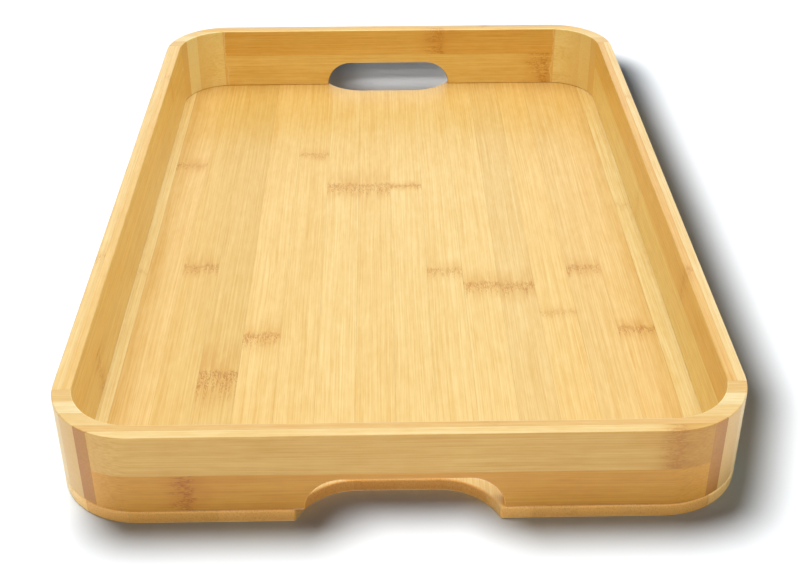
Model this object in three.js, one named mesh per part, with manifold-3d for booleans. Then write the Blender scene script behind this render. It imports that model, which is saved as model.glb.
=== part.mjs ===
// Bamboo serving tray: a slatted base under a frame of two-ply walls with laminated corner blocks.
// Millimetres, +Z up. The origin is the centre of the underside, and +Y runs along the tray.
// The front end is at -Y and the back end at +Y. Each end has a hand opening.

import * as THREE from 'three';
import { mergeVertices } from 'three/addons/utils/BufferGeometryUtils.js';
import Module from 'manifold-3d';

const wasm = await Module();
wasm.setup();

// Overall
const trayLength = 480;
const trayWidth = 320;
const trayHeight = 50;
const cornerRadius = 40.5; // plan radius of the outer corners

// Base: slats glued edge to edge, running along the tray
const baseThickness = 7;
const baseEase = 1.1; // chamfer round the base's upper edge, just under the frame
const slatWidth = 20.4;
const slatShift = -1.7; // how far the slat pattern sits off the centre line

// Frame: every wall is two plies, and every ply is two strips stacked on edge
const outerPly = 4.9;
const innerPly = 4.3;
const rimEase = 0.6; // chamfer along the rim's edges
const archCover = 3.6; // wood left between the arch and the outer ply's seam
const seamStagger = 3.1; // the inner ply's seam is this much higher

// Corner blocks: layers stacked behind the end wall, then cut to the corner's curve
const cornerLayers = 3;
const cornerRunOut = 4.9; // how far short of the curve's end the block stops
const featherRun = 4; // how far round the curve the block's thin edge starts

// Hand opening at each end: an arch in the wall, over a notch in the base
const archWidth = 90.4;
const archRise = 17.2; // from the base's upper face to the arch's flat top
const archCorner = 17;
const archShift = { front: 1.3, back: -1 }; // off the centre line
const notchDepth = 19.9; // from the end face
const notchCorner = 30;
const notchOverlap = 1.6; // the notch is this much wider than the arch, each side
const notchShift = { front: -1.9, back: -1.6 };

// Joints and smoothness
const glueLine = 0.05; // between glued faces
const cutMargin = 5; // how far a cutting block reaches past the wood
const arcSteps = 16; // segments in a quarter circle

// Worked out from the above
const halfLength = trayLength / 2;
const halfWidth = trayWidth / 2;
const wallThickness = outerPly + innerPly;
const archTop = baseThickness + archRise;
const outerSeam = archTop + archCover;
const innerSeam = outerSeam + seamStagger;
const cornerBlockEnd = cornerRadius - cornerRunOut; // from the end face
const cornerLayer = (cornerBlockEnd - wallThickness) / cornerLayers;
const featherEdge = halfWidth - cornerRadius + featherRun; // from the centre line
const notchSideRun = notchDepth < notchCorner
  ? Math.sqrt(notchCorner ** 2 - (notchCorner - notchDepth) ** 2)
  : notchCorner;
const notchFlat = archWidth + 2 * notchOverlap - 2 * notchSideRun;

const ends = [
  { name: 'front', side: -1 },
  { name: 'back', side: 1 },
];
const sides = [
  { name: 'left', side: -1 },
  { name: 'right', side: 1 },
];

const baseWood = new THREE.MeshStandardMaterial({ color: 0xf7cf86, roughness: 0.5, metalness: 0 });
const wallWood = new THREE.MeshStandardMaterial({ color: 0xd3a058, roughness: 0.5, metalness: 0 });
const cornerWood = new THREE.MeshStandardMaterial({ color: 0xdcb478, roughness: 0.5, metalness: 0 });

// A closed three.js geometry as a solid that can be joined and cut.
function toSolid(geometry) {
  geometry.deleteAttribute('normal');
  geometry.deleteAttribute('uv');
  const merged = mergeVertices(geometry, 1e-4);
  return new wasm.Manifold(new wasm.Mesh({
    numProp: 3,
    vertProperties: new Float32Array(merged.attributes.position.array),
    triVerts: new Uint32Array(merged.index.array),
  }));
}

function toGeometry(solid) {
  const { vertProperties, triVerts } = solid.getMesh();
  const geometry = new THREE.BufferGeometry();
  geometry.setAttribute('position', new THREE.BufferAttribute(vertProperties, 3));
  geometry.setIndex(new THREE.BufferAttribute(triVerts, 1));
  return geometry;
}

// Points of a rounded rectangle, the tray's plan drawn in by an inset all round.
function planOutline(inset) {
  const radius = cornerRadius - inset;
  const centreX = halfWidth - cornerRadius;
  const centreY = halfLength - cornerRadius;
  const points = [];
  for (let corner = 0; corner < 4; corner += 1) {
    const signX = corner === 0 || corner === 3 ? 1 : -1;
    const signY = corner < 2 ? 1 : -1;
    for (let step = 0; step <= arcSteps; step += 1) {
      const angle = (corner + step / arcSteps) * Math.PI / 2;
      points.push([
        signX * centreX + radius * Math.cos(angle),
        signY * centreY + radius * Math.sin(angle),
      ]);
    }
  }
  return points;
}

// A block with the tray's plan, whose inset changes from level to level, listed from the bottom up.
function planBlock(levels) {
  const positions = [];
  const triangles = [];
  const rings = levels.map(({ inset }) => planOutline(inset));
  const count = rings[0].length;
  rings.forEach((ring, level) => {
    ring.forEach(([x, y]) => positions.push(x, y, levels[level].z));
  });
  for (let level = 0; level + 1 < rings.length; level += 1) {
    for (let i = 0; i < count; i += 1) {
      const next = (i + 1) % count;
      const [a, b] = [level * count + i, level * count + next];
      triangles.push(a, b, b + count, a, b + count, a + count);
    }
  }
  const top = (rings.length - 1) * count;
  for (let i = 1; i + 1 < count; i += 1) {
    triangles.push(0, i + 1, i);
    triangles.push(top, top + i, top + i + 1);
  }
  const geometry = new THREE.BufferGeometry();
  geometry.setAttribute('position', new THREE.BufferAttribute(new Float32Array(positions), 3));
  geometry.setIndex(triangles);
  return toSolid(geometry);
}

function block([x0, x1], [y0, y1], [z0, z1]) {
  const geometry = new THREE.BoxGeometry(x1 - x0, y1 - y0, z1 - z0);
  geometry.translate((x0 + x1) / 2, (y0 + y1) / 2, (z0 + z1) / 2);
  return toSolid(geometry);
}

// A slot outline that comes up from below: a flat top at the given reach, with round corners.
function slotOutline(flat, corner, reach) {
  const shape = new THREE.Shape();
  const centre = reach - corner;
  const bottom = Math.min(centre, 0) - cutMargin;
  shape.moveTo(-flat / 2 - corner, bottom);
  shape.lineTo(-flat / 2 - corner, centre);
  shape.absarc(-flat / 2, centre, corner, Math.PI, Math.PI / 2, true);
  shape.absarc(flat / 2, centre, corner, Math.PI / 2, 0, true);
  shape.lineTo(flat / 2 + corner, bottom);
  shape.closePath();
  return shape;
}

// The arch, as a level prism through one end wall.
function archCutter(end) {
  const shape = slotOutline(archWidth - 2 * archCorner, archCorner, archTop);
  const depth = wallThickness + 2 * cutMargin;
  const geometry = new THREE.ExtrudeGeometry(shape, { depth, bevelEnabled: false, curveSegments: arcSteps });
  geometry.rotateX(Math.PI / 2);
  geometry.translate(archShift[end.name], depth / 2, 0);
  geometry.translate(0, end.side * (halfLength - wallThickness / 2), 0);
  return toSolid(geometry);
}

// The notch, as an upright prism through one end of the base.
function notchCutter(end) {
  const shape = slotOutline(notchFlat, notchCorner, notchDepth);
  const depth = baseThickness + 2 * cutMargin;
  const geometry = new THREE.ExtrudeGeometry(shape, { depth, bevelEnabled: false, curveSegments: arcSteps });
  geometry.translate(0, -halfLength, -cutMargin);
  if (end.side > 0) {
    geometry.rotateZ(Math.PI);
  }
  geometry.translate(notchShift[end.name], 0, 0);
  return toSolid(geometry);
}

// A named mesh cut from a blank, with its own origin at its middle.
function piece(name, material, blank, rangeX, rangeY, rangeZ) {
  const geometry = toGeometry(blank.intersect(block(rangeX, rangeY, rangeZ)));
  geometry.computeBoundingBox();
  const centre = geometry.boundingBox.getCenter(new THREE.Vector3());
  geometry.translate(-centre.x, -centre.y, -centre.z);
  const mesh = new THREE.Mesh(geometry, material);
  mesh.name = name;
  mesh.position.copy(centre);
  return mesh;
}

// A range measured inwards from an outer face, on the side that the sign gives.
function inwards(side, half, from, to) {
  return side < 0 ? [-half + from, -half + to] : [half - to, half - from];
}

// The base, before it is parted into slats
function baseBlank() {
  let blank = planBlock([
    { z: 0, inset: 0 },
    { z: baseThickness - baseEase, inset: 0 },
    { z: baseThickness, inset: baseEase },
  ]);
  for (const end of ends) {
    blank = blank.subtract(notchCutter(end));
  }
  return blank;
}

// The frame, before it is parted into strips and layers
function frameBlank() {
  const foot = baseThickness + glueLine;
  let blank = planBlock([
    { z: foot, inset: 0 },
    { z: trayHeight - rimEase, inset: 0 },
    { z: trayHeight, inset: rimEase },
  ]);
  blank = blank.subtract(planBlock([
    { z: foot - cutMargin, inset: wallThickness },
    { z: trayHeight - rimEase, inset: wallThickness },
    { z: trayHeight + cutMargin, inset: wallThickness - rimEase - cutMargin },
  ]));
  for (const end of ends) {
    blank = blank.subtract(archCutter(end));
  }
  return blank;
}

function base() {
  const group = new THREE.Group();
  const blank = baseBlank();
  const count = Math.round(trayWidth / slatWidth);
  const seamAt = (k) => slatShift + (k - count / 2) * slatWidth;
  const fullLength = [-halfLength - cutMargin, halfLength + cutMargin];
  const fullDepth = [-cutMargin, baseThickness + cutMargin];
  for (let k = 0; k < count; k += 1) {
    const left = k === 0 ? -halfWidth - cutMargin : seamAt(k) + glueLine;
    const right = k === count - 1 ? halfWidth + cutMargin : seamAt(k + 1);
    const name = `base_slat_${String(k + 1).padStart(2, '0')}`;
    group.add(piece(name, baseWood, blank, [left, right], fullLength, fullDepth));
  }
  return group;
}

// The two strips that a ply or a corner layer is stacked from.
function stack(name, material, blank, rangeX, rangeY, seam) {
  const group = new THREE.Group();
  const lower = [0, seam];
  const upper = [seam + glueLine, trayHeight + cutMargin];
  group.add(piece(`${name}_lower`, material, blank, rangeX, rangeY, lower));
  group.add(piece(`${name}_upper`, material, blank, rangeX, rangeY, upper));
  return group;
}

// End walls run the full width of the tray, so their ends show on the outer corners.
function endWall(end, blank) {
  const group = new THREE.Group();
  const fullWidth = [-halfWidth - cutMargin, halfWidth + cutMargin];
  const outer = inwards(end.side, halfLength, -cutMargin, outerPly);
  const inner = inwards(end.side, halfLength, outerPly + glueLine, wallThickness);
  group.add(stack(`${end.name}_wall_outer`, wallWood, blank, fullWidth, outer, outerSeam));
  group.add(stack(`${end.name}_wall_inner`, wallWood, blank, fullWidth, inner, innerSeam));
  return group;
}

// Side walls butt against the last layer of the corner blocks.
function sideWall(side, blank) {
  const group = new THREE.Group();
  const reach = halfLength - cornerBlockEnd - glueLine;
  const between = [-reach, reach];
  const outer = inwards(side.side, halfWidth, -cutMargin, outerPly);
  const inner = inwards(side.side, halfWidth, outerPly + glueLine, wallThickness + cutMargin);
  group.add(stack(`${side.name}_wall_outer`, wallWood, blank, outer, between, outerSeam));
  group.add(stack(`${side.name}_wall_inner`, wallWood, blank, inner, between, innerSeam));
  return group;
}

function cornerBlock(end, side, blank) {
  const group = new THREE.Group();
  const across = inwards(side.side, halfWidth, -cutMargin, halfWidth - featherEdge);
  for (let layer = 0; layer < cornerLayers; layer += 1) {
    const start = wallThickness + layer * cornerLayer;
    const along = inwards(end.side, halfLength, start + glueLine, start + cornerLayer);
    const seam = layer % 2 === 0 ? outerSeam : innerSeam;
    const name = `${end.name}_${side.name}_corner_${layer + 1}`;
    group.add(stack(name, cornerWood, blank, across, along, seam));
  }
  return group;
}

const tray = new THREE.Group();
tray.name = 'serving_tray';
tray.add(base());
const frame = frameBlank();
for (const end of ends) {
  tray.add(endWall(end, frame));
  for (const side of sides) {
    tray.add(cornerBlock(end, side, frame));
  }
}
for (const side of sides) {
  tray.add(sideWall(side, frame));
}

export default tray;
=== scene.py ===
from math import radians

import bpy
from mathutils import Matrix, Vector


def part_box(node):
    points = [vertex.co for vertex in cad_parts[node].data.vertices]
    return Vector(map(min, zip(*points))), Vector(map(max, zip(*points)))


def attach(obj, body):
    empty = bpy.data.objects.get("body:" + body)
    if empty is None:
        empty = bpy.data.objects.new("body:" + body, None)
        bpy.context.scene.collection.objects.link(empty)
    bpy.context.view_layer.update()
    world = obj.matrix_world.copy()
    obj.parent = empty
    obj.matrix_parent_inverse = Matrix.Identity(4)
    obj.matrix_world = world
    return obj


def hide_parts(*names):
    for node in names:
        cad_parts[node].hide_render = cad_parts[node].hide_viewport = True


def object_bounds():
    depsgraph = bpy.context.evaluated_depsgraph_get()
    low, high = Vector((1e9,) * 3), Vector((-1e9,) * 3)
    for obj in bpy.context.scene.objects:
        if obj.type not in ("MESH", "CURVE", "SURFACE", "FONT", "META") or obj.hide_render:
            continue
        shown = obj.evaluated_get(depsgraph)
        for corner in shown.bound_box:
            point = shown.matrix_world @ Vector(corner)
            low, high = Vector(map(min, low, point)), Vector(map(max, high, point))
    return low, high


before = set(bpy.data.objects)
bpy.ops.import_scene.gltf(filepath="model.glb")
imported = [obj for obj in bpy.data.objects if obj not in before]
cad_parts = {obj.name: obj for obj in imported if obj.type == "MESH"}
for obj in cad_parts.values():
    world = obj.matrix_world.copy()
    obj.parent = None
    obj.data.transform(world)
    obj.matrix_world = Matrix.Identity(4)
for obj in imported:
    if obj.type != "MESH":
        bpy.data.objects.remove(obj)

cadLow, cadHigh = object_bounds()  # the box that the finished tray stays inside
scene = bpy.context.scene
scene.view_settings.view_transform = "Standard"
mm = 0.001

# Camera: looks down at the front end of the tray
cameraLook = {
    "spot": (-0.00851, -0.68000, 0.40928),
    "turn": (57.2453, 0.1141, -1.0855),  # degrees about X, Y and Z
    "lens": 58.325,
    "sensor": 36.0,
    "nearest": 0.01,
}


def makeCamera(look):
    camera = bpy.data.objects.new("camera", bpy.data.cameras.new("camera"))
    scene.collection.objects.link(camera)
    camera.location = look["spot"]
    camera.rotation_euler = [radians(turn) for turn in look["turn"]]
    camera.data.lens = look["lens"]
    camera.data.sensor_width = look["sensor"]
    camera.data.clip_start = look["nearest"]
    scene.camera = camera


makeCamera(cameraLook)
print("camera placed")


# Small helpers for node trees
def give(tree, socket, value):
    if isinstance(value, bpy.types.NodeSocket):
        tree.links.new(value, socket)
    else:
        socket.default_value = value


def put(tree, kind, inputs=None, **settings):
    made = tree.nodes.new(kind)
    for name, value in settings.items():
        setattr(made, name, value)
    for key, value in (inputs or {}).items():
        give(tree, made.inputs[key], value)
    return made


def calc(tree, operation, first, second=0.0, third=0.0, clamp=False):
    inputs = {0: first, 1: second, 2: third}
    return put(tree, "ShaderNodeMath", inputs, operation=operation, use_clamp=clamp).outputs[0]


def ramp(tree, value, start, end, low=0.0, high=1.0):
    inputs = {0: value, 1: start, 2: end, 3: low, 4: high}
    made = put(tree, "ShaderNodeMapRange", inputs, interpolation_type="SMOOTHSTEP", clamp=True)
    return made.outputs[0]


def combine(tree, x, y, z):
    return put(tree, "ShaderNodeCombineXYZ", {0: x, 1: y, 2: z}).outputs[0]


def separate(tree, vector):
    return put(tree, "ShaderNodeSeparateXYZ", {0: vector}).outputs


def stretch(tree, vector, scale):
    return put(tree, "ShaderNodeVectorMath", {0: vector, 1: scale}, operation="MULTIPLY").outputs[0]


def shift(tree, vector, offset):
    return put(tree, "ShaderNodeVectorMath", {0: vector, 1: offset}, operation="ADD").outputs[0]


def noise(tree, vector, waves, detail, distortion=0.0):
    # Waves are counted for each millimetre, along each axis
    vector = stretch(tree, vector, waves)
    inputs = {"Vector": vector, "Scale": 1.0, "Detail": detail, "Distortion": distortion}
    return put(tree, "ShaderNodeTexNoise", inputs).outputs[0]


def blend(tree, amount, first, second, mode="MIX"):
    made = put(tree, "ShaderNodeMix", data_type="RGBA", blend_type=mode, clamp_factor=True)
    give(tree, made.inputs[0], amount)
    give(tree, made.inputs[6], first)
    give(tree, made.inputs[7], second)
    return made.outputs[2]


def linear(channel):
    share = channel / 255  # an sRGB value as linear light
    return share / 12.92 if share <= 0.04045 else ((share + 0.055) / 1.055) ** 2.4


def colour(red, green, blue):
    return (linear(red), linear(green), linear(blue), 1.0)


def startGroup(name, kind, inputs, outputs):
    tree = bpy.data.node_groups.new(name, kind)
    for label, socketKind, value in inputs:
        socket = tree.interface.new_socket(label, in_out="INPUT", socket_type=socketKind)
        if value is not None:
            socket.default_value = value
    for label, socketKind in outputs:
        tree.interface.new_socket(label, in_out="OUTPUT", socket_type=socketKind)
    given = tree.nodes.new("NodeGroupInput").outputs
    result = tree.nodes.new("NodeGroupOutput").inputs
    return tree, given, result


# Geometry: one blank for the base and one for the frame, then a saw that parts them into strips
floatSocket, intSocket = "NodeSocketFloat", "NodeSocketInt"
vectorSocket, colourSocket = "NodeSocketVector", "NodeSocketColor"
geometrySocket = "NodeSocketGeometry"

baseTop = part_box("base_slat_08")[1].z
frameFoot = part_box("left_wall_outer_lower")[0].z

planSizes = {
    "Length": cadHigh.y - cadLow.y,
    "Width": cadHigh.x - cadLow.x,
    "Corner Radius": 40.5 * mm,
    "Corner Steps": 24,
}
frameSizes = {
    "Wall": 9.2 * mm,
    "Foot": frameFoot,
    "Top": cadHigh.z,
    "Rim Ease": 0.75 * mm,
    "Ease Steps": 4,
    "Arch Width": 90.4 * mm,
    "Arch Top": baseTop + 17.2 * mm,
    "Arch Corner": 17 * mm,
    "Front Shift": 1.3 * mm,
    "Back Shift": -1.0 * mm,
    "Foot Ease": 0.25,  # share of the easing below
}
baseSizes = {
    "Thickness": baseTop,
    "Notch Depth": 19.9 * mm,
    "Notch Corner": 30 * mm,
    "Notch Width": 93.6 * mm,  # at the end face
    "Front Shift": -1.9 * mm,
    "Back Shift": -1.6 * mm,
    "Lower Ease": 0.7,  # share of the easing below
}
easing = {
    "frame": 0.8 * mm,
    "base": 1.1 * mm,
    "steps": 3,
    "sharp": radians(50),  # edges that turn more than this are eased
    "footBand": 0.1 * mm,  # the frame's edges this near its foot count as foot edges
    "lowerPart": 0.6,  # the base's edges below this share of its thickness count as lower ones
}
cutterDepth = 3.0  # in thicknesses of what the cutter goes through


def sizeSockets(*groups):
    found = []
    for sizes in groups:
        for label, value in sizes.items():
            found.append((label, intSocket if isinstance(value, int) else floatSocket, value))
    return found


def plan(tree, given, inset):
    # The tray's rounded outline, drawn in by an inset
    twice = calc(tree, "MULTIPLY", inset, 2.0)
    width = calc(tree, "SUBTRACT", given["Width"], twice)
    length = calc(tree, "SUBTRACT", given["Length"], twice)
    radius = calc(tree, "SUBTRACT", given["Corner Radius"], inset)
    outline = put(tree, "GeometryNodeCurvePrimitiveQuadrilateral", {"Width": width, "Height": length})
    inputs = {"Curve": outline.outputs[0], "Count": given["Corner Steps"], "Radius": radius}
    return put(tree, "GeometryNodeFilletCurve", inputs, mode="POLY").outputs[0]


def raiseBlock(tree, outline, height):
    # An outline filled and raised to a closed block
    face = put(tree, "GeometryNodeFillCurve", {"Curve": outline}, mode="NGONS").outputs[0]
    sides = put(tree, "GeometryNodeExtrudeMesh", {"Mesh": face, "Offset Scale": height}).outputs[0]
    under = put(tree, "GeometryNodeFlipFaces", {"Mesh": face}).outputs[0]
    both = put(tree, "GeometryNodeJoinGeometry")
    tree.links.new(sides, both.inputs[0])
    tree.links.new(under, both.inputs[0])
    return put(tree, "GeometryNodeMergeByDistance", {"Geometry": both.outputs[0]}).outputs[0]


def move(tree, geometry, spot, turn=(0, 0, 0)):
    inputs = {"Geometry": geometry, "Translation": spot, "Rotation": turn}
    return put(tree, "GeometryNodeTransform", inputs).outputs[0]


def slot(tree, width, reach, corner, depth, steps):
    # A block whose rounded end lies at +Y reach; its other end runs well past 0
    run = calc(tree, "MULTIPLY", corner, 3.0)
    height = calc(tree, "ADD", reach, run)
    outline = put(tree, "GeometryNodeCurvePrimitiveQuadrilateral", {"Width": width, "Height": height})
    inputs = {"Curve": outline.outputs[0], "Count": steps, "Radius": corner}
    rounded = put(tree, "GeometryNodeFilletCurve", inputs, mode="POLY").outputs[0]
    middle = calc(tree, "MULTIPLY", calc(tree, "SUBTRACT", reach, run), 0.5)
    return move(tree, raiseBlock(tree, rounded, depth), combine(tree, 0.0, middle, 0.0))


def cutAway(tree, solid, cutters):
    made = put(tree, "GeometryNodeMeshBoolean", operation="DIFFERENCE", solver="MANIFOLD")
    tree.links.new(solid, made.inputs["Mesh 1"])
    for cutter in cutters:
        tree.links.new(cutter, made.inputs["Mesh 2"])
    return made.outputs[0]


def keepShared(tree, first, second):
    made = put(tree, "GeometryNodeMeshBoolean", operation="INTERSECT", solver="MANIFOLD")
    tree.links.new(first, made.inputs["Mesh 2"])
    tree.links.new(second, made.inputs["Mesh 2"])
    return made.outputs[0]


def store(tree, geometry, label, value, kind, domain="POINT"):
    inputs = {"Geometry": geometry, "Name": label}
    made = put(tree, "GeometryNodeStoreNamedAttribute", inputs, data_type=kind, domain=domain)
    give(tree, made.inputs["Value"], value)
    return made.outputs[0]


def storeEase(tree, geometry, split, below, above):
    # How much each sharp edge is eased: one share below a height and another above it
    height = separate(tree, put(tree, "GeometryNodeInputPosition").outputs[0])[2]
    upper = calc(tree, "GREATER_THAN", height, split)
    angle = put(tree, "GeometryNodeInputMeshEdgeAngle").outputs[0]
    isSharp = calc(tree, "GREATER_THAN", angle, easing["sharp"])
    share = calc(tree, "MULTIPLY_ADD", upper, calc(tree, "SUBTRACT", above, below), below)
    return store(tree, geometry, "ease", calc(tree, "MULTIPLY", share, isSharp), "FLOAT", "EDGE")


def frameTree():
    inputs = sizeSockets(planSizes, frameSizes)
    tree, given, result = startGroup("frame ring", "GeometryNodeTree", inputs, [("Mesh", geometrySocket)])
    path = plan(tree, given, calc(tree, "MULTIPLY", given["Wall"], 0.5))
    height = calc(tree, "SUBTRACT", given["Top"], given["Foot"])
    inputs = {"Width": given["Wall"], "Height": height}
    section = put(tree, "GeometryNodeCurvePrimitiveQuadrilateral", inputs)
    sectionSpot = separate(tree, put(tree, "GeometryNodeInputPosition").outputs[0])
    isRim = calc(tree, "GREATER_THAN", sectionSpot[1], 0.0)
    ease = calc(tree, "MULTIPLY", isRim, given["Rim Ease"])
    inputs = {"Curve": section.outputs[0], "Count": given["Ease Steps"], "Radius": ease}
    profile = put(tree, "GeometryNodeFilletCurve", inputs, mode="POLY").outputs[0]
    swept = put(tree, "GeometryNodeCurveToMesh", {"Curve": path, "Profile Curve": profile}).outputs[0]
    middle = calc(tree, "MULTIPLY_ADD", height, 0.5, given["Foot"])
    ring = move(tree, swept, combine(tree, 0.0, 0.0, middle))
    depth = calc(tree, "MULTIPLY", given["Wall"], cutterDepth)
    arches = []
    for end, side in (("Front", -0.5), ("Back", 0.5)):
        block = slot(tree, given["Arch Width"], given["Arch Top"], given["Arch Corner"], depth,
                     given["Corner Steps"])
        across = calc(tree, "MULTIPLY_ADD", given["Length"], side, calc(tree, "MULTIPLY", depth, 0.5))
        spot = combine(tree, given[f"{end} Shift"], across, 0.0)
        arches.append(move(tree, block, spot, (radians(90), 0, 0)))
    cut = cutAway(tree, ring, arches)
    split = calc(tree, "ADD", given["Foot"], easing["footBand"])
    tree.links.new(storeEase(tree, cut, split, given["Foot Ease"], 1.0), result[0])
    return tree


def baseTree():
    inputs = sizeSockets(planSizes, baseSizes)
    tree, given, result = startGroup("base board", "GeometryNodeTree", inputs, [("Mesh", geometrySocket)])
    board = raiseBlock(tree, plan(tree, given, 0.0), given["Thickness"])
    depth = calc(tree, "MULTIPLY", given["Thickness"], cutterDepth)
    # The notch is an arc of its corner circle where it meets the end face, so its block is wider than it
    corner, reach = given["Notch Corner"], given["Notch Depth"]
    rise = calc(tree, "SUBTRACT", corner, reach)
    squares = calc(tree, "SUBTRACT", calc(tree, "POWER", corner, 2.0), calc(tree, "POWER", rise, 2.0))
    sideRun = calc(tree, "SQRT", squares)
    extra = calc(tree, "MULTIPLY", calc(tree, "SUBTRACT", corner, sideRun), 2.0)
    width = calc(tree, "ADD", given["Notch Width"], extra)
    notches = []
    for end, side in (("Front", -0.5), ("Back", 0.5)):
        block = slot(tree, width, reach, corner, depth, given["Corner Steps"])
        along = calc(tree, "MULTIPLY", given["Length"], side)
        spot = combine(tree, given[f"{end} Shift"], along, calc(tree, "MULTIPLY", depth, -0.5))
        notches.append(move(tree, block, spot, (0, 0, radians(180) if side > 0 else 0)))
    cut = cutAway(tree, board, notches)
    split = calc(tree, "MULTIPLY", given["Thickness"], easing["lowerPart"])
    tree.links.new(storeEase(tree, cut, split, given["Lower Ease"], 1.0), result[0])
    return tree


def grow(name, tree, values):
    # An object whose shape a tree makes, with the tree's inputs set by name
    made = bpy.data.objects.new(name, bpy.data.meshes.new(name))
    scene.collection.objects.link(made)
    modifier = made.modifiers.new("tree", "NODES")
    modifier.node_group = tree
    for item in tree.interface.items_tree:
        if item.in_out == "INPUT" and item.name in values:
            modifier[item.identifier] = values[item.name]
    return made


def easeEdges(made, width):
    bevel = made.modifiers.new("ease", "BEVEL")
    bevel.limit_method = "WEIGHT"
    bevel.edge_weight = "ease"
    bevel.width = width
    bevel.segments = easing["steps"]
    bevel.use_clamp_overlap = False


frameBlank = grow("frameBlank", frameTree(), {**planSizes, **frameSizes})
easeEdges(frameBlank, easing["frame"])
baseBlank = grow("baseBlank", baseTree(), {**planSizes, **baseSizes})
easeEdges(baseBlank, easing["base"])
print("blanks shaped")


# Finish: what every bamboo surface shares, as shader groups that work in millimetres with X along the fibre
fibreLayers = {  # waves for each millimetre, along and across the fibre
    "Cloud": (0.06, 0.12),
    "Fleck": (0.12, 0.6),
    "Broad": (0.002, 0.08),
    "Streak": (0.0025, 0.2),
    "Fine": (0.005, 0.5),
    "Hair": (0.012, 1.45),
}


def fibreGroup():
    # Streaks from wide to hair-thin, each with its own strength, and the dark bundles among them
    inputs = [("Vector", vectorSocket, None), ("Sway", floatSocket, 1.2), ("Cloud", floatSocket, 1.0),
              ("Fleck", floatSocket, 1.0), ("Broad", floatSocket, 1.0), ("Streak", floatSocket, 1.0),
              ("Fine", floatSocket, 1.0), ("Hair", floatSocket, 1.0)]
    outputs = [("Tone", floatSocket), ("Bundle", floatSocket), ("Relief", floatSocket)]
    tree, given, result = startGroup("bamboo fibre", "ShaderNodeTree", inputs, outputs)
    bend = noise(tree, given["Vector"], (0.007, 0.03, 0.03), 1.0)
    sway = calc(tree, "MULTIPLY", calc(tree, "SUBTRACT", bend, 0.5), given["Sway"])
    wavy = shift(tree, given["Vector"], combine(tree, 0.0, sway, sway))
    tone = 0.5
    for label, (along, across) in fibreLayers.items():
        layer = noise(tree, wavy, (along, across, across), 2.0)
        part = calc(tree, "MULTIPLY", calc(tree, "SUBTRACT", layer, 0.5), given[label])
        tone = calc(tree, "ADD", tone, part)
    tree.links.new(calc(tree, "ADD", tone, 0.0, clamp=True), result[0])
    dashes = noise(tree, wavy, (0.05, 2.2, 2.2), 1.0)
    tree.links.new(ramp(tree, dashes, 0.56, 0.72), result[1])
    tree.links.new(layer, result[2])
    return tree


def nodeGroup():
    # Where the culm had a node: a broken ridge line, short curled fibres hanging off it and a soft stain
    inputs = [("Vector", vectorSocket, None), ("Along", floatSocket, None), ("Strength", floatSocket, 0.5),
              ("Reach", floatSocket, 8.0)]
    outputs = [("Dark", floatSocket), ("Stain", floatSocket)]
    tree, given, result = startGroup("bamboo node", "ShaderNodeTree", inputs, outputs)
    vector, reach = given["Vector"], given["Reach"]
    edge = calc(tree, "SUBTRACT", noise(tree, vector, (0.0, 0.3, 0.3), 3.0), 0.5)
    away = calc(tree, "MULTIPLY_ADD", edge, 9.0, given["Along"])
    drip = noise(tree, vector, (0.0, 0.5, 0.5), 2.0)
    length = calc(tree, "MULTIPLY", ramp(tree, drip, 0.36, 0.6, 0.3, 1.0), reach)
    below = ramp(tree, calc(tree, "DIVIDE", away, length), -1.2, -0.3)
    hanging = calc(tree, "MULTIPLY", below, ramp(tree, away, 0.5, 4.0, 1.0, 0.0))
    curls = noise(tree, vector, (0.3, 0.95, 0.95), 2.0, 1.6)
    curled = calc(tree, "MULTIPLY", ramp(tree, curls, 0.46, 0.57), hanging)
    breaks = ramp(tree, noise(tree, vector, (0.05, 0.45, 0.45), 1.0), 0.42, 0.56)
    ridge = calc(tree, "MULTIPLY", ramp(tree, calc(tree, "ABSOLUTE", away), 0.4, 1.5, 0.5, 0.0), breaks)
    dark = calc(tree, "MAXIMUM", curled, ridge)
    tree.links.new(calc(tree, "MULTIPLY", dark, given["Strength"]), result[0])
    cloud = ramp(tree, noise(tree, vector, (0.06, 0.22, 0.22), 3.0), 0.3, 0.62, 0.3, 1.0)
    share = calc(tree, "DIVIDE", calc(tree, "ABSOLUTE", away), reach)
    stain = calc(tree, "MULTIPLY", ramp(tree, share, 0.0, 1.6, 1.0, 0.0), cloud)
    tree.links.new(calc(tree, "MULTIPLY", stain, given["Strength"]), result[1])
    return tree


def endGrainGroup():
    # Cut fibre ends: how squarely a face cuts the fibres, and the dots of the bundles in it
    inputs = [("Vector", vectorSocket, None), ("Facing", floatSocket, 0.0)]
    outputs = [("Cut", floatSocket), ("Dots", floatSocket)]
    tree, given, result = startGroup("bamboo end grain", "ShaderNodeTree", inputs, outputs)
    cut = ramp(tree, given["Facing"], 0.15, 0.8)
    dots = noise(tree, given["Vector"], (0.02, 1.9, 1.3), 1.0)
    tree.links.new(cut, result[0])
    tree.links.new(calc(tree, "MULTIPLY", ramp(tree, dots, 0.5, 0.68), cut), result[1])
    return tree


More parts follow.
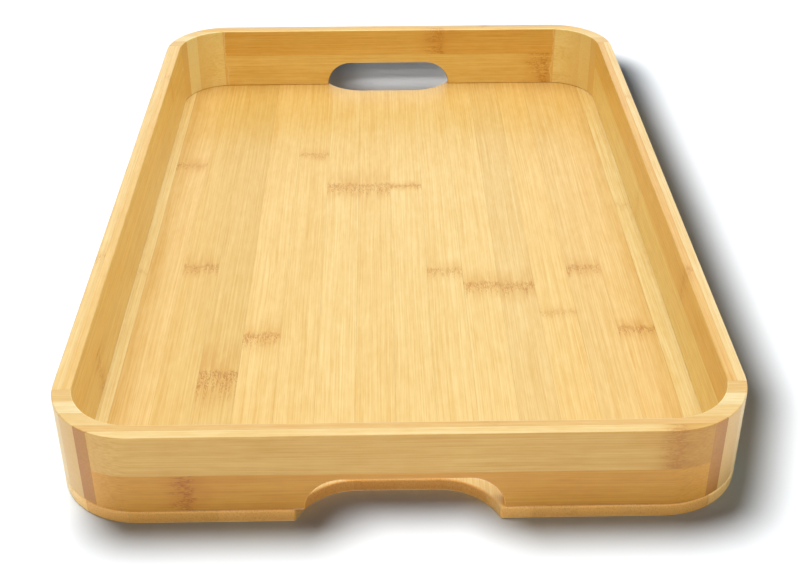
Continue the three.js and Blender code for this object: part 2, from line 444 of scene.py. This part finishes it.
def glueGroup():
    # A thin wandering line of set glue along a seam
    inputs = [("Vector", vectorSocket, None), ("Distance", floatSocket, None), ("Width", floatSocket, 0.5),
              ("Wander", floatSocket, 1.0)]
    outputs = [("Line", floatSocket), ("Beyond", floatSocket)]
    tree, given, result = startGroup("glue line", "ShaderNodeTree", inputs, outputs)
    slow = calc(tree, "SUBTRACT", noise(tree, given["Vector"], (0.03, 0.03, 0.09), 1.0), 0.5)
    quick = calc(tree, "SUBTRACT", noise(tree, given["Vector"], (0.1, 0.1, 0.5), 1.0), 0.5)
    wander = calc(tree, "MULTIPLY_ADD", quick, 0.35, slow)
    away = calc(tree, "SUBTRACT", given["Distance"], calc(tree, "MULTIPLY", wander, given["Wander"]))
    edge = calc(tree, "DIVIDE", calc(tree, "ABSOLUTE", away), given["Width"])
    tree.links.new(ramp(tree, edge, 0.4, 1.0, 1.0, 0.0), result[0])
    tree.links.new(ramp(tree, calc(tree, "DIVIDE", away, given["Width"]), -0.3, 0.3), result[1])
    return tree


fibres, nodes, endGrain, glue = fibreGroup(), nodeGroup(), endGrainGroup(), glueGroup()


def useGroup(tree, group, inputs):
    made = put(tree, "ShaderNodeGroup", node_tree=group)
    for label, value in inputs.items():
        give(tree, made.inputs[label], value)
    return made.outputs


def readMark(tree, label, output):
    return put(tree, "ShaderNodeAttribute", attribute_name=label).outputs[output]


darkFibre, lightFibre = (0.84, 0.72, 0.38, 1), (1.10, 1.26, 1.66, 1)
upwardSpan = (0.5, 0.9)  # how much a face looks up, from a side to a top; the sides get painted light and shade
inwardSpan = (-40, -90)  # mm: well past 0 on the faces that look to the middle of the tray


def bambooMaterial(name, along, look):
    material = bpy.data.materials.new(name)
    material.use_nodes = True
    tree = material.node_tree
    tree.nodes.clear()
    place = stretch(tree, put(tree, "ShaderNodeTexCoord").outputs["Object"], (1000, 1000, 1000))
    x, y, z = separate(tree, place)
    normal = separate(tree, put(tree, "ShaderNodeNewGeometry").outputs["Normal"])
    lengthwise, across = (x, y) if along == "X" else (y, x)
    facing = calc(tree, "ABSOLUTE", normal[0] if along == "X" else normal[1])
    grain = shift(tree, combine(tree, lengthwise, across, z), readMark(tree, "grainShift", "Vector"))
    fibre = useGroup(tree, fibres, {"Vector": grain, **look["fibre"]})
    ends = useGroup(tree, endGrain, {"Vector": grain, "Facing": facing})
    calm = calc(tree, "MULTIPLY_ADD", ends["Cut"], -look["calmEnds"], 1.0)
    tone = calc(tree, "MULTIPLY_ADD", calc(tree, "SUBTRACT", fibre["Tone"], 0.5), calm, 0.5)
    wood = readMark(tree, "woodColour", "Color")
    colourNow = blend(tree, 1.0, wood, blend(tree, tone, darkFibre, lightFibre), "MULTIPLY")
    bundleColour = blend(tree, 1.0, colourNow, look["bundleTint"], "MULTIPLY")
    bundle = calc(tree, "MULTIPLY", fibre["Bundle"], look["bundles"])
    colourNow = blend(tree, bundle, colourNow, bundleColour)

    mark = separate(tree, readMark(tree, "nodeMark", "Vector"))
    inputs = {"Vector": grain, "Along": calc(tree, "SUBTRACT", lengthwise, mark[0]), "Strength": mark[1],
              "Reach": mark[2]}
    knot = useGroup(tree, nodes, inputs)
    stainColour = blend(tree, 1.0, colourNow, look["stainTint"], "MULTIPLY")
    colourNow = blend(tree, knot["Stain"], colourNow, stainColour)
    darkColour = blend(tree, 1.0, colourNow, look["nodeTint"], "MULTIPLY")
    colourNow = blend(tree, knot["Dark"], colourNow, darkColour)

    endColour = blend(tree, 1.0, colourNow, look["endTint"], "MULTIPLY")
    colourNow = blend(tree, ends["Cut"], colourNow, endColour)
    dotColour = blend(tree, 1.0, colourNow, look["dotTint"], "MULTIPLY")
    dots = calc(tree, "MULTIPLY", ends["Dots"], look["dots"])
    colourNow = blend(tree, dots, colourNow, dotColour)
    # Painted light and shade: faces that look sideways get a tint that makes them darker or lighter than
    # the tops, for how the light falls on them
    sideShading = calc(tree, "SUBTRACT", 1.0, ramp(tree, normal[2], *upwardSpan))
    sideShadedColour = blend(tree, 1.0, colourNow, look["sideShadingTint"], "MULTIPLY")
    colourNow = blend(tree, sideShading, colourNow, sideShadedColour)
    outward = calc(tree, "MULTIPLY_ADD", normal[0], x, calc(tree, "MULTIPLY", normal[1], y))
    inward = ramp(tree, outward, *inwardSpan)
    if "innerTint" in look:
        innerColour = blend(tree, 1.0, colourNow, look["innerTint"], "MULTIPLY")
        colourNow = blend(tree, inward, colourNow, innerColour)
    # Painted shade: past a given place along the strip the colour turns darker, standing in for shade that
    # falls there
    deeper = separate(tree, readMark(tree, "deeper", "Vector"))
    shadedColour = blend(tree, 1.0, colourNow, look["paintedShadeTint"], "MULTIPLY")
    past = calc(tree, "DIVIDE", calc(tree, "SUBTRACT", lengthwise, deeper[0]), deeper[1])
    shadeShare = calc(tree, "MULTIPLY", ramp(tree, past, 0.0, 1.0), deeper[2])
    colourNow = blend(tree, shadeShare, colourNow, shadedColour)

    if "feather" in look:  # the corner block's thin edge laps over the end wall, with glue along it
        distance = calc(tree, "SUBTRACT", calc(tree, "ABSOLUTE", x), look["feather"])
        inputs = {"Vector": place, "Distance": distance, **look["glueLine"]}
        seam = useGroup(tree, glue, inputs)
        lap = calc(tree, "MULTIPLY", calc(tree, "MULTIPLY", seam["Beyond"], inward), look["lapShare"])
        colourNow = blend(tree, lap, colourNow, look["lapColour"])
        line = calc(tree, "MULTIPLY", calc(tree, "MULTIPLY", seam["Line"], inward), look["glueShare"])
        colourNow = blend(tree, line, colourNow, look["glueColour"])

    roughness = calc(tree, "MULTIPLY_ADD", fibre["Relief"], look["roughSpread"], look["rough"])
    roughness = calc(tree, "MULTIPLY_ADD", ends["Cut"], look["roughEnds"], roughness)
    relief = calc(tree, "MULTIPLY_ADD", fibre["Bundle"], -look["bundleDip"], fibre["Relief"])
    relief = calc(tree, "MULTIPLY_ADD", knot["Dark"], -look["nodeDip"], relief)
    inputs = {"Strength": look["relief"], "Distance": look["reliefDepth"], "Height": relief}
    bump = put(tree, "ShaderNodeBump", inputs).outputs[0]
    shader = put(tree, "ShaderNodeBsdfPrincipled", {"Base Color": colourNow, "Roughness": roughness})
    tree.links.new(bump, shader.inputs["Normal"])
    shader.inputs["IOR"].default_value = look["ior"]
    shader.inputs["Coat Weight"].default_value = look["lacquer"]
    shader.inputs["Coat Roughness"].default_value = look["lacquerRough"]
    tree.links.new(shader.outputs[0], put(tree, "ShaderNodeOutputMaterial").inputs[0])
    return material


# In these looks the side shading tint is painted light and shade on faces that look sideways, darker on the
# outer faces and lighter on the inner side faces
plainLook = {
    "fibre": {"Sway": 3.0, "Cloud": 0.35, "Fleck": 0.36, "Broad": 0.27, "Streak": 0.2, "Fine": 0.16,
              "Hair": 1.1},
    "bundles": 0.4,  # how strongly the dark bundles show
    "bundleTint": (0.93, 0.84, 0.68, 1),
    "stainTint": (0.89, 0.77, 0.57, 1),
    "nodeTint": (0.76, 0.60, 0.38, 1),
    "endTint": (1.08, 0.86, 0.53, 1),
    "sideShadingTint": (1, 1, 1, 1),
    # the tint of the painted shade that darkens a strip past a given place
    "paintedShadeTint": (0.84, 0.72, 0.44, 1),
    "calmEnds": 0.6,  # how much quieter the fibre is on cut ends
    "dots": 0.4,
    "dotTint": (0.7, 0.58, 0.45, 1),
    "rough": 0.34,
    "roughSpread": 0.14,
    "roughEnds": 0.12,
    "relief": 0.35,
    "reliefDepth": 0.06 * mm,
    "bundleDip": 0.6,  # how far bundles and nodes lie below the rest, as shares of that depth
    "nodeDip": 0.8,
    "ior": 1.45,
    "lacquer": 0.3,
    "lacquerRough": 0.22,
}
# Its end tint is end grain colour, raised a little as painted light on the notch face that lies in the
# front wall's shade
baseLook = {**plainLook, "endTint": (1.3, 1.03, 0.75, 1), "sideShadingTint": (0.84, 0.81, 0.77, 1)}
outerLook = {
    **plainLook,
    "endTint": (1.05, 1.0, 0.95, 1),
    "sideShadingTint": (0.80, 0.635, 0.36, 1),
    "calmEnds": 0.8,
}
lowerOuterLook = {**outerLook, "endTint": (1.30, 1.42, 2.3, 1)}
sideOuterLook = {**outerLook, "sideShadingTint": (0.88, 0.75, 0.52, 1)}
sideLook = {**plainLook, "sideShadingTint": (1.08, 1.18, 1.04, 1)}
innerLook = {
    **plainLook,
    "endTint": (0.75, 0.62, 0.50, 1),
    "sideShadingTint": (0.785, 0.60, 0.31, 1),
    "innerTint": (1.275, 1.67, 3.22, 1),
    "feather": 122,  # mm from the middle
    "lapColour": colour(248, 206, 117),
    "lapShare": 0.85,
    "glueColour": colour(252, 226, 160),
    "glueShare": 0.7,
    "glueLine": {"Width": 0.55, "Wander": 6.0},  # mm
}
cornerLook = {
    **plainLook,
    "fibre": {**plainLook["fibre"], "Broad": 0.25, "Streak": 0.2, "Fine": 0.3, "Hair": 0.8},
    "endTint": (0.93, 0.87, 0.79, 1),
    "sideShadingTint": (0.96, 0.92, 0.88, 1),
    "innerTint": (1.22, 1.48, 1.59, 1),
    "calmEnds": 0.75,
    "dots": 0.15,
}
baseBamboo = bambooMaterial("baseBamboo", "Y", baseLook)
endOuterBamboo = bambooMaterial("endOuterBamboo", "X", outerLook)
endLowerBamboo = bambooMaterial("endLowerBamboo", "X", lowerOuterLook)
endInnerBamboo = bambooMaterial("endInnerBamboo", "X", innerLook)
sideOuterBamboo = bambooMaterial("sideOuterBamboo", "Y", sideOuterLook)
sideInnerBamboo = bambooMaterial("sideInnerBamboo", "Y", sideLook)
cornerBamboo = bambooMaterial("cornerBamboo", "X", cornerLook)
print("bamboo mixed")


# Strips: the saw keeps what a blank and a strip's box share
grainRoom = 900  # mm that a strip's grain may be shifted to each side
weldGap = 0.002 * mm  # points nearer than this become one


def sawTree():
    inputs = [("Blank", "NodeSocketObject", None), ("Low", vectorSocket, None),
              ("High", vectorSocket, None), ("Wood Colour", colourSocket, None),
              ("Node Mark", vectorSocket, None), ("Painted Shade", vectorSocket, None), ("Seed", intSocket, 0),
              ("Wood", "NodeSocketMaterial", None)]
    tree, given, result = startGroup("strip saw", "GeometryNodeTree", inputs, [("Mesh", geometrySocket)])
    blank = put(tree, "GeometryNodeObjectInfo", {"Object": given["Blank"]}).outputs["Geometry"]
    inputs = {0: given["High"], 1: given["Low"]}
    span = put(tree, "ShaderNodeVectorMath", inputs, operation="SUBTRACT").outputs[0]
    middle = stretch(tree, shift(tree, given["High"], given["Low"]), (0.5, 0.5, 0.5))
    cell = put(tree, "GeometryNodeMeshCube", {"Size": span}).outputs["Mesh"]
    sawn = keepShared(tree, blank, move(tree, cell, middle))
    sawn = put(tree, "GeometryNodeMergeByDistance", {"Geometry": sawn, "Distance": weldGap}).outputs[0]
    angle = put(tree, "GeometryNodeInputMeshEdgeAngle").outputs[0]
    inputs = {"Geometry": sawn, "Shade Smooth": calc(tree, "LESS_THAN", angle, easing["sharp"])}
    sawn = put(tree, "GeometryNodeSetShadeSmooth", inputs, domain="EDGE").outputs[0]
    sawn = store(tree, sawn, "woodColour", given["Wood Colour"], "FLOAT_COLOR")
    sawn = store(tree, sawn, "nodeMark", given["Node Mark"], "FLOAT_VECTOR")
    sawn = store(tree, sawn, "deeper", given["Painted Shade"], "FLOAT_VECTOR")
    draw = put(tree, "FunctionNodeRandomValue", data_type="FLOAT_VECTOR")
    draw.inputs[0].default_value = [-grainRoom] * 3
    draw.inputs[1].default_value = [grainRoom] * 3
    same = put(tree, "FunctionNodeInputInt", integer=1).outputs[0]  # one draw for the whole strip
    give(tree, draw.inputs["ID"], same)
    give(tree, draw.inputs["Seed"], given["Seed"])
    sawn = store(tree, sawn, "grainShift", draw.outputs[0], "FLOAT_VECTOR")
    sawn = put(tree, "GeometryNodeRealizeInstances", {"Geometry": sawn}).outputs[0]
    inputs = {"Geometry": sawn, "Material": given["Wood"]}
    tree.links.new(put(tree, "GeometryNodeSetMaterial", inputs).outputs[0], result[0])
    return tree


saw = sawTree()
sawRoom = 0.1 * mm  # how far a strip's box reaches past its free faces
seamRoom = 0.001 * mm  # and past its glued faces
seamGap = 0.06 * mm
nodeBoxes = {name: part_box(name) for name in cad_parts}


def sawBox(name):
    # A strip's own box, a little larger where nothing is glued to it
    low, high = (Vector(corner) for corner in nodeBoxes[name])
    family = [box for other, box in nodeBoxes.items() if ("slat" in other) == ("slat" in name)]
    for axis in range(3):
        gluedLow = any(abs(box[1][axis] - low[axis]) < seamGap for box in family)
        gluedHigh = any(abs(box[0][axis] - high[axis]) < seamGap for box in family)
        low[axis] -= seamRoom if gluedLow else sawRoom
        high[axis] += seamRoom if gluedHigh else sawRoom
    return low, high


def finishStrip(made, name):
    # The tree's result as a plain mesh, smooth round the eased edges
    weigh = made.modifiers.new("weigh", "WEIGHTED_NORMAL")
    weigh.keep_sharp = True
    bpy.context.view_layer.update()
    graph = bpy.context.evaluated_depsgraph_get()
    shaped = made.evaluated_get(graph)
    mesh = bpy.data.meshes.new_from_object(shaped, preserve_all_data_layers=True, depsgraph=graph)
    made.modifiers.clear()
    made.data = mesh
    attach(made, "root")
    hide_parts(name)


strips = []


def strip(name, blank, wood, slotName, paint, mark=(0, 0, 1), deeper=(0, 1, 0)):
    low, high = sawBox(name)
    seed = len(strips) + 1
    values = {"Blank": blank, "Low": low, "High": high, "Wood Colour": paint, "Node Mark": mark,
              "Painted Shade": deeper, "Seed": seed, "Wood": wood}
    made = grow(name + "_bamboo", saw, values)
    strips.append((made, name, slotName))


# Base: one tone and one node to each slat; a node is (place along the slat, strength, reach) in mm
slatPaint = {
    "creamPaintedLight": colour(255, 229, 160),
    "pale": colour(246, 208, 128),
    "straw": colour(244, 204, 122),
    "honey": colour(239, 200, 121),
    "tan": colour(234, 194, 110),
}
# Slats 1 and 16 by the side walls take the cream tone: partly their own pale tone, partly painted light
# against the shade of the side walls
slatTones = ["creamPaintedLight", "honey", "tan", "tan", "straw", "straw", "pale", "straw", "pale", "pale", "pale",
             "honey", "straw", "honey", "honey", "creamPaintedLight"]
slatNodes = [(-35, 0.3, 6), (101, 0.7, 9), (-29, 0.9, 12), (-135, 1.0, 26), (-101, 1.0, 13), (114, 0.8, 9),
             (70, 1.0, 18), (69, 1.0, 20), (68, 1.0, 6), (-36, 0.8, 10), (-52, 1.0, 14), (-53, 1.0, 15),
             (-82, 0.5, 7), (-35, 0.9, 11), (-99, 0.9, 9), (39, 0.3, 8)]
slatPaintedShade = (60, 150, 0.31)  # painted shade: the slats turn darker to the back, where the light falls off toward the back wall: place, run in mm, share
for index, (tone, mark) in enumerate(zip(slatTones, slatNodes)):
    name = f"base_slat_{index + 1:02d}"
    strip(name, baseBlank, baseBamboo, "bamboo_base", slatPaint[tone], mark, slatPaintedShade)

# End and side walls
wallPaint = {
    "front_wall_outer_upper": (endOuterBamboo, colour(250, 214, 140), (123, 0.65, 10)),
    "front_wall_outer_lower": (endLowerBamboo, colour(240, 184, 77), (-96, 1.0, 10)),
    "front_wall_inner_upper": (endInnerBamboo, colour(236, 188, 108), (40, 0.3, 8)),
    "front_wall_inner_lower": (endInnerBamboo, colour(238, 188, 110), (-18, 0.9, 6)),
    "back_wall_outer_upper": (endOuterBamboo, colour(230, 190, 124), (70, 0.6, 8)),
    "back_wall_outer_lower": (endLowerBamboo, colour(238, 188, 104), (96, 0.8, 8)),
    "back_wall_inner_upper": (endInnerBamboo, colour(244, 192, 90), (38, 0.8, 14)),
    "back_wall_inner_lower": (endInnerBamboo, colour(249, 207, 111), (118, 0.9, 18)),
    "left_wall_outer_upper": (sideOuterBamboo, colour(247, 207, 130), (-88, 0.6, 7)),
    "left_wall_outer_lower": (sideOuterBamboo, colour(240, 196, 118), (60, 0.6, 8)),
    "left_wall_inner_upper": (sideInnerBamboo, colour(246, 200, 117), (150, 0.4, 8)),
    "left_wall_inner_lower": (sideInnerBamboo, colour(241, 197, 117), (-147, 0.7, 10)),
    "right_wall_outer_upper": (sideOuterBamboo, colour(248, 212, 140), (110, 0.5, 7)),
    "right_wall_outer_lower": (sideOuterBamboo, colour(240, 196, 118), (-70, 0.6, 8)),
    "right_wall_inner_upper": (sideInnerBamboo, colour(237, 184, 97), (-107, 0.6, 10)),
    "right_wall_inner_lower": (sideInnerBamboo, colour(245, 206, 129), (20, 0.3, 8)),
}
paintedShadePast = {"front_wall_outer_upper": (106, 24, 1.0)}  # painted shade toward the near right end of the front wall: place, run in mm, share
for name, (wood, paint, mark) in wallPaint.items():
    strip(name, frameBlank, wood, "bamboo_wall", paint, mark, paintedShadePast.get(name, (0, 1, 0)))

# Corner blocks: layers 1 to 3 from the end wall inwards
layerPaint = [colour(242, 202, 126), colour(250, 222, 158), colour(237, 193, 116)]
quieterPaint = {"back_right_corner_2": colour(245, 209, 136)}
for end in ("front", "back"):
    for side in ("left", "right"):
        for layer, paint in enumerate(layerPaint):
            for height in ("lower", "upper"):
                block = f"{end}_{side}_corner_{layer + 1}"
                paintNow = quieterPaint.get(block, paint)
                strip(f"{block}_{height}", frameBlank, cornerBamboo, "bamboo_corner", paintNow)

for made, name, slotName in strips:
    finishStrip(made, name)
for blank in (frameBlank, baseBlank):
    bpy.data.objects.remove(blank)
print("strips sawn:", len(strips))


# Studio: a pale floor, a white background and soft lamps
def mixShaders(tree, amount, first, second):
    made = put(tree, "ShaderNodeMixShader", {0: amount})
    tree.links.new(first, made.inputs[1])
    tree.links.new(second, made.inputs[2])
    return made.outputs[0]


def seenDirectly(tree):
    # 1 for the camera's own rays and for what glossy or clear surfaces show
    path = put(tree, "ShaderNodeLightPath").outputs
    seen = calc(tree, "MAXIMUM", path["Is Camera Ray"], path["Is Glossy Ray"])
    return calc(tree, "MAXIMUM", seen, path["Is Transmission Ray"])


studio = {
    "floor": 3.0,  # metres to each side
    "floorColour": (0.57, 0.66, 0.76, 1),  # as cool as the shadow lamp is warm, so the lit floor is neutral
    "gap": 0.1,  # mm between the floor and the tray, so the underside shows from below
    "ambient": 0.10,
    "lamps": {  # spread and lean in degrees: lean back from straight down, then turn about Z
        "overhead": {"strength": 2.15, "spread": 65, "lean": 0, "turn": 0},
        "front": {"strength": 0.33, "spread": 60, "lean": 60, "turn": 0},
        "left": {"strength": 0.35, "spread": 60, "lean": 50, "turn": -90},
        "right": {"strength": 0.3, "spread": 60, "lean": 50, "turn": 90},
        "back": {"strength": 0.2, "spread": 60, "lean": 50, "turn": 180},
        "under": {"strength": 1.2, "spread": 20, "lean": 180, "turn": 0},
    },
    "shadowLamp": {"strength": 6.7, "spread": 38, "lean": 21.5, "turn": -148, "colour": (1.0, 0.89, 0.79)},
    "card": {  # widens the tray's shadow, with gaps over the hand openings; each part by its corners in mm
        "parts": [
            [(-152, -235), (-140, -243), (-38, -243), (-30, -227), (31, -227), (39, -243), (128, -243),
             (153, -234), (164, -215), (179, -170), (188, -142), (191, 60), (191, 255), (-152, 255)],
            [(-152, 255), (-34, 255), (-34, 291), (-152, 291)],
            [(50, 255), (191, 255), (189, 291), (50, 291)],
            [(-34, 262.8), (50, 262.8), (50, 274.3), (-34, 274.3)],
            [(-34, 276.7), (50, 276.7), (50, 288.6), (-34, 288.6)],
            [(-152, 291), (189, 291), (174, 312), (146, 320), (-120, 320), (-143, 310)],
        ],
        "height": 45,
    },
}


def makeFloor(size, drop, paint):
    mesh = bpy.data.meshes.new("floor")
    corners = [(-size, -size, -drop), (size, -size, -drop), (size, size, -drop), (-size, size, -drop)]
    mesh.from_pydata(corners, [], [(0, 1, 2, 3)])
    floor = bpy.data.objects.new("floor", mesh)
    scene.collection.objects.link(floor)
    material = bpy.data.materials.new("paleFloor")
    material.use_nodes = True
    tree = material.node_tree
    tree.nodes.clear()
    pale = put(tree, "ShaderNodeBsdfDiffuse", {"Color": paint}).outputs[0]
    clear = put(tree, "ShaderNodeBsdfTransparent").outputs[0]
    under = put(tree, "ShaderNodeNewGeometry").outputs["Backfacing"]
    tree.links.new(mixShaders(tree, under, pale, clear), put(tree, "ShaderNodeOutputMaterial").inputs[0])
    mesh.materials.append(material)
    return floor


def makeCard(look):
    # A card above the tray that only the shadow lamp sees
    mesh = bpy.data.meshes.new("card")
    points, faces = [], []
    for part in look["parts"]:
        faces.append(range(len(points), len(points) + len(part)))
        points += [(x * mm, y * mm, look["height"] * mm) for x, y in part]
    mesh.from_pydata(points, [], faces)
    card = bpy.data.objects.new("card", mesh)
    scene.collection.objects.link(card)
    card.visible_camera = card.visible_diffuse = card.visible_glossy = card.visible_transmission = False
    return card


def makeWorld(ambient):
    world = bpy.data.worlds.new("studio")
    scene.world = world
    world.use_nodes = True
    world.cycles.sampling_method = "NONE"
    tree = world.node_tree
    tree.nodes.clear()
    strength = calc(tree, "MULTIPLY_ADD", seenDirectly(tree), 1.0 - ambient, ambient)
    light = put(tree, "ShaderNodeBackground", {"Color": (1, 1, 1, 1), "Strength": strength}).outputs[0]
    tree.links.new(light, put(tree, "ShaderNodeOutputWorld").inputs[0])


def makeLamp(name, look, receivers, blockers):
    lamp = bpy.data.objects.new(name, bpy.data.lights.new(name, "SUN"))
    scene.collection.objects.link(lamp)
    lamp.data.energy = look["strength"]
    lamp.data.color = look.get("colour", (1, 1, 1))
    lamp.data.angle = radians(look["spread"])
    lamp.rotation_euler = (radians(look["lean"]), 0, radians(look["turn"]))
    lamp.light_linking.receiver_collection = receivers
    lamp.light_linking.blocker_collection = blockers


def group(name, members):
    made = bpy.data.collections.new(name)
    for member in members:
        made.objects.link(member)
    return made


floor = makeFloor(studio["floor"], studio["gap"] * mm, studio["floorColour"])
card = makeCard(studio["card"])
makeWorld(studio["ambient"])
pieces = [made for made, name, slotName in strips]
trayOnly = group("tray", pieces)
for name, look in studio["lamps"].items():
    makeLamp(name, look, trayOnly, trayOnly)
# The front wall lets the shadow lamp through to the floor in the notch
shading = [made for made in pieces if not made.name.startswith("front_wall")]
makeLamp("shadowLamp", studio["shadowLamp"], group("floor only", [floor]), group("shade", [*shading, card]))
print("studio lit")
